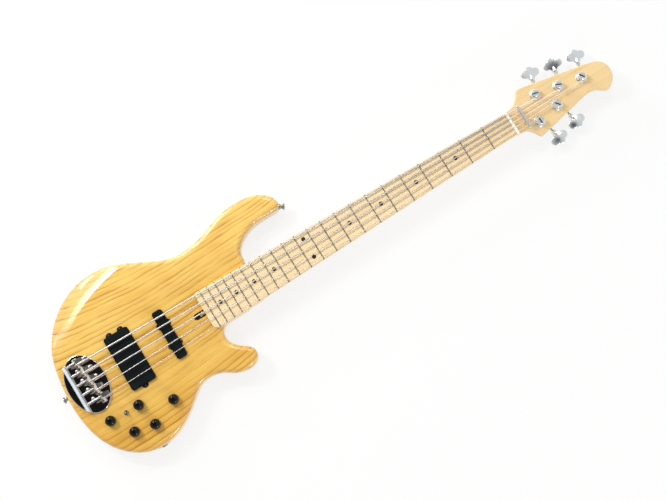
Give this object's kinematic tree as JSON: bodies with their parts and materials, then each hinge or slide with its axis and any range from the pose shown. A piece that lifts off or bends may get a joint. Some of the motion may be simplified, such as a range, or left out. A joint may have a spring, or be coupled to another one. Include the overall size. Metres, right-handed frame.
{
  "type": "electric bass guitar",
  "caption": "Solid-body electric bass guitar with a bolt-on maple neck, an oval through-body bridge with moving saddles, two pickups, turning controls and geared tuners.",
  "frame": {"origin": "on the flat back of the body, on the centre line of the strings, under the bridge end of the scale", "axes": "+X along the strings to the headstock, +Y to the bass side (the long horn), +Z out of the face; the bass lies on its back"},
  "size_m": [1.1642, 0.3369, 0.0615],
  "materials": {
    "ash": "gloss lacquer",
    "maple": "satin lacquer",
    "board_maple": "satin lacquer",
    "fret_wire": "polished crown",
    "black_inlay": "satin",
    "white_nut": "satin",
    "steel": "machined",
    "chrome": "polished",
    "string_steel": "round wound",
    "pickup_black": "satin",
    "coil": "wound and potted",
    "cover_black": "fine grain",
    "circuit_board": "solder mask",
    "battery_case": "printed sleeve, left plain",
    "knob_black": "polished",
    "nickel": "satin plated",
    "brass_wheel": "machined"
  },
  "bodies": {
    "instrument": {"body": "ash", "neck": "maple", "fingerboard": "board_maple", "frets": "fret_wire", "fret_markers": "black_inlay", "nut": "white_nut", "truss_rod": "steel", "string_retainer": "chrome", "retainer_screws": "chrome", "neck_bolts": "steel", "neck_bolt_ferrules": "chrome", "bridge_plate": "chrome", "bridge_screws": "steel", "string_ferrules": "chrome", "strings": "string_steel", "bridge_pickup_cover": "pickup_black", "bridge_pickup_coils": "coil", "neck_pickup_cover": "pickup_black", "neck_pickup_coil": "coil", "pickup_screws": "steel", "control_cover": "cover_black", "control_cover_screws": "steel", "potentiometers": "steel", "control_nuts": "chrome", "switch_case": "steel", "preamp_board": "circuit_board", "battery": "battery_case", "output_jack": "chrome", "strap_buttons": "chrome", "strap_button_screws": "steel", "tuner_housings": "chrome", "tuner_bushings": "chrome", "tuner_screws": "steel"},
    "volume_knob": {"volume_knob": "knob_black"},
    "blend_knob": {"blend_knob": "knob_black"},
    "treble_knob": {"treble_knob": "knob_black"},
    "middle_knob": {"middle_knob": "knob_black"},
    "bass_knob": {"bass_knob": "knob_black"},
    "switch_lever": {"switch_lever": "chrome"},
    "truss_rod_nut": {"truss_rod_nut": "brass_wheel"},
    "saddle_b": {"saddle_b": "nickel"},
    "intonation_screw_b": {"intonation_screw_b": "steel"},
    "saddle_e": {"saddle_e": "nickel"},
    "intonation_screw_e": {"intonation_screw_e": "steel"},
    "saddle_a": {"saddle_a": "nickel"},
    "intonation_screw_a": {"intonation_screw_a": "steel"},
    "saddle_d": {"saddle_d": "nickel"},
    "intonation_screw_d": {"intonation_screw_d": "steel"},
    "saddle_g": {"saddle_g": "nickel"},
    "intonation_screw_g": {"intonation_screw_g": "steel"},
    "tuner_key_b": {"tuner_key_b": "chrome"},
    "tuner_post_b": {"tuner_post_b": "chrome"},
    "tuner_key_e": {"tuner_key_e": "chrome"},
    "tuner_post_e": {"tuner_post_e": "chrome"},
    "tuner_key_a": {"tuner_key_a": "chrome"},
    "tuner_post_a": {"tuner_post_a": "chrome"},
    "tuner_key_d": {"tuner_key_d": "chrome"},
    "tuner_post_d": {"tuner_post_d": "chrome"},
    "tuner_key_g": {"tuner_key_g": "chrome"},
    "tuner_post_g": {"tuner_post_g": "chrome"}
  },
  "joints": [
    {"name": "volume_turn", "type": "hinge", "parent": "instrument", "child": "volume_knob", "pos_m": [-0.0046, -0.0787, 0.0445], "axis": [0, 0, 1], "range_deg": [-150, 150]},
    {"name": "blend_turn", "type": "hinge", "parent": "instrument", "child": "blend_knob", "pos_m": [0.0526, -0.0805, 0.0445], "axis": [0, 0, 1], "range_deg": [-150, 150]},
    {"name": "treble_turn", "type": "hinge", "parent": "instrument", "child": "treble_knob", "pos_m": [0.111, -0.1046, 0.0445], "axis": [0, 0, 1], "range_deg": [-150, 150]},
    {"name": "middle_turn", "type": "hinge", "parent": "instrument", "child": "middle_knob", "pos_m": [0.0609, -0.1254, 0.0445], "axis": [0, 0, 1], "range_deg": [-150, 150]},
    {"name": "bass_turn", "type": "hinge", "parent": "instrument", "child": "bass_knob", "pos_m": [0.0224, -0.1176, 0.0445], "axis": [0, 0, 1], "range_deg": [-150, 150]},
    {"name": "switch_tilt", "type": "hinge", "parent": "instrument", "child": "switch_lever", "pos_m": [0.0265, -0.0805, 0.0445], "axis": [0, 1, 0], "range_deg": [-12, 12]},
    {"name": "truss_rod_turn", "type": "hinge", "parent": "instrument", "child": "truss_rod_nut", "pos_m": [0.23, 0, 0.0385], "axis": [1, 0, 0], "range_deg": [-360, 360]},
    {"name": "intonation_b_turn", "type": "hinge", "parent": "instrument", "child": "intonation_screw_b", "pos_m": [-0.028, 0.0438, 0.0524], "axis": [-1, 0, 0], "range_deg": [0, 4120]},
    {"name": "saddle_b_slide", "type": "slide", "parent": "instrument", "child": "saddle_b", "axis": [1, 0, 0], "range_m": [0, 0.008]},
    {"name": "intonation_e_turn", "type": "hinge", "parent": "instrument", "child": "intonation_screw_e", "pos_m": [-0.028, 0.0248, 0.0524], "axis": [-1, 0, 0], "range_deg": [0, 4120]},
    {"name": "saddle_e_slide", "type": "slide", "parent": "instrument", "child": "saddle_e", "axis": [1, 0, 0], "range_m": [0, 0.008]},
    {"name": "intonation_a_turn", "type": "hinge", "parent": "instrument", "child": "intonation_screw_a", "pos_m": [-0.028, 0.0058, 0.0524], "axis": [-1, 0, 0], "range_deg": [0, 4120]},
    {"name": "saddle_a_slide", "type": "slide", "parent": "instrument", "child": "saddle_a", "axis": [1, 0, 0], "range_m": [0, 0.008]},
    {"name": "intonation_d_turn", "type": "hinge", "parent": "instrument", "child": "intonation_screw_d", "pos_m": [-0.028, -0.0132, 0.0524], "axis": [-1, 0, 0], "range_deg": [0, 4120]},
    {"name": "saddle_d_slide", "type": "slide", "parent": "instrument", "child": "saddle_d", "axis": [1, 0, 0], "range_m": [0, 0.008]},
    {"name": "intonation_g_turn", "type": "hinge", "parent": "instrument", "child": "intonation_screw_g", "pos_m": [-0.028, -0.0322, 0.0524], "axis": [-1, 0, 0], "range_deg": [0, 4120]},
    {"name": "saddle_g_slide", "type": "slide", "parent": "instrument", "child": "saddle_g", "axis": [1, 0, 0], "range_m": [0, 0.008]},
    {"name": "key_b_turn", "type": "hinge", "parent": "instrument", "child": "tuner_key_b", "pos_m": [0.97571, 0.06162, 0.0193], "axis": [0.1874, 0.9823, 0], "continuous": true},
    {"name": "post_b_turn", "type": "hinge", "parent": "instrument", "child": "tuner_post_b", "pos_m": [0.9579, 0.0243, 0.0405], "axis": [0, 0, 1], "continuous": true},
    {"name": "key_e_turn", "type": "hinge", "parent": "instrument", "child": "tuner_key_e", "pos_m": [1.02011, 0.05315, 0.0193], "axis": [0.1874, 0.9823, 0], "continuous": true},
    {"name": "post_e_turn", "type": "hinge", "parent": "instrument", "child": "tuner_post_e", "pos_m": [1.0023, 0.01583, 0.0405], "axis": [0, 0, 1], "continuous": true},
    {"name": "key_a_turn", "type": "hinge", "parent": "instrument", "child": "tuner_key_a", "pos_m": [1.06451, 0.04469, 0.0193], "axis": [0.1874, 0.9823, 0], "continuous": true},
    {"name": "post_a_turn", "type": "hinge", "parent": "instrument", "child": "tuner_post_a", "pos_m": [1.0467, 0.00736, 0.0405], "axis": [0, 0, 1], "continuous": true},
    {"name": "key_d_turn", "type": "hinge", "parent": "instrument", "child": "tuner_key_d", "pos_m": [0.99972, -0.05045, 0.0193], "axis": [0.2045, -0.9789, 0], "continuous": true},
    {"name": "post_d_turn", "type": "hinge", "parent": "instrument", "child": "tuner_post_d", "pos_m": [0.98126, -0.01344, 0.0405], "axis": [0, 0, 1], "continuous": true},
    {"name": "key_g_turn", "type": "hinge", "parent": "instrument", "child": "tuner_key_g", "pos_m": [0.95636, -0.05951, 0.0193], "axis": [0.2045, -0.9789, 0], "continuous": true},
    {"name": "post_g_turn", "type": "hinge", "parent": "instrument", "child": "tuner_post_g", "pos_m": [0.9379, -0.0225, 0.0405], "axis": [0, 0, 1], "continuous": true}
  ],
  "couplings": [
    {"joint": "intonation_b_turn", "follows": "saddle_b_slide", "rad_per_m": 8976},
    {"joint": "intonation_e_turn", "follows": "saddle_e_slide", "rad_per_m": 8976},
    {"joint": "intonation_a_turn", "follows": "saddle_a_slide", "rad_per_m": 8976},
    {"joint": "intonation_d_turn", "follows": "saddle_d_slide", "rad_per_m": 8976},
    {"joint": "intonation_g_turn", "follows": "saddle_g_slide", "rad_per_m": 8976},
    {"joint": "post_b_turn", "follows": "key_b_turn", "ratio": 0.05},
    {"joint": "post_e_turn", "follows": "key_e_turn", "ratio": 0.05},
    {"joint": "post_a_turn", "follows": "key_a_turn", "ratio": 0.05},
    {"joint": "post_d_turn", "follows": "key_d_turn", "ratio": 0.05},
    {"joint": "post_g_turn", "follows": "key_g_turn", "ratio": 0.05}
  ]
}
